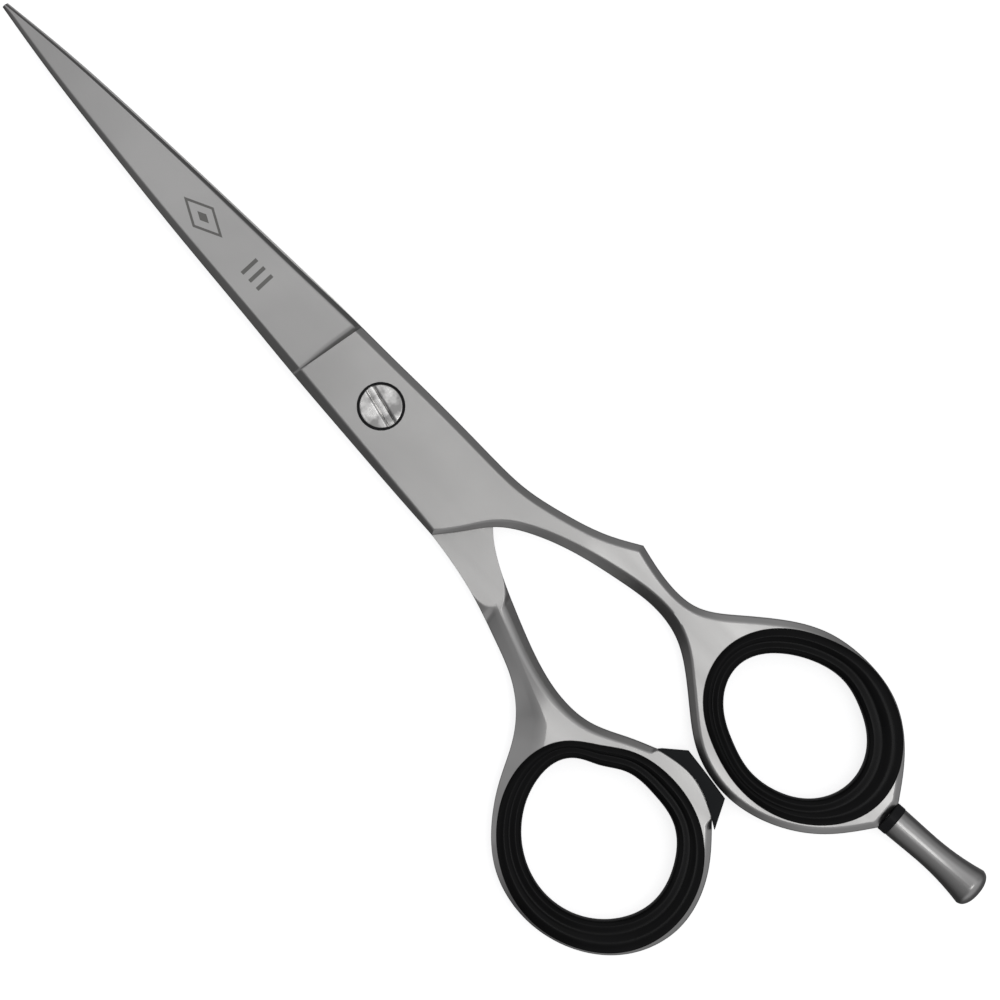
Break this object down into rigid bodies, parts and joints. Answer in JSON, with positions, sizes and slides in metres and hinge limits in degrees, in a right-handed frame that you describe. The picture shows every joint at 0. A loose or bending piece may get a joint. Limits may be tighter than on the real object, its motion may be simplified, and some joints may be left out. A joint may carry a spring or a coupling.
{
  "type": "hair cutting shears",
  "caption": "Slim steel hairdressing shears with rubber-lined finger rings, a slotted tension screw, a rubber stop between the rings and a screwed-in finger rest.",
  "frame": {"origin": "on the pivot axis, at the level of the thumb half's flat back, shears lying flat and closed", "axes": "+X from the pivot to the blade tips, +Y to the side of the thumb ring, +Z along the pivot axis out of the screw's slotted head"},
  "size_m": [0.1672, 0.0541, 0.0053],
  "materials": {
    "satin_steel": "satin ground stainless steel",
    "polished_steel": "polished stainless steel",
    "black_nylon": "matt black nylon",
    "black_rubber": "smooth soft black rubber with a faint sheen",
    "stop_rubber": "matt dark grey rubber"
  },
  "bodies": {
    "finger_side": {"finger_half": "satin_steel", "pivot_bushing": "black_nylon", "finger_ring_insert": "black_rubber", "finger_rest_washer": "black_nylon"},
    "thumb_side": {"thumb_half": "satin_steel", "thumb_ring_insert": "black_rubber", "bumper": "stop_rubber"},
    "screw": {"pivot_screw": "polished_steel"},
    "rest": {"finger_rest": "polished_steel"}
  },
  "joints": [
    {"name": "blade_pivot", "type": "hinge", "parent": "finger_side", "child": "thumb_side", "pos_m": [0, 0, 0.00245], "axis": [0, 0, -1], "range_deg": [0, 140]},
    {"name": "tension_turn", "type": "hinge", "parent": "thumb_side", "child": "screw", "pos_m": [0, 0, 0.00245], "axis": [0, 0, 1], "range_deg": [-90, 90]},
    {"name": "rest_turn", "type": "hinge", "parent": "finger_side", "child": "rest", "pos_m": [-0.08199, -0.01129, 0.00245], "axis": [-0.9947, -0.1025, 0], "range_deg": [0, 360]}
  ]
}
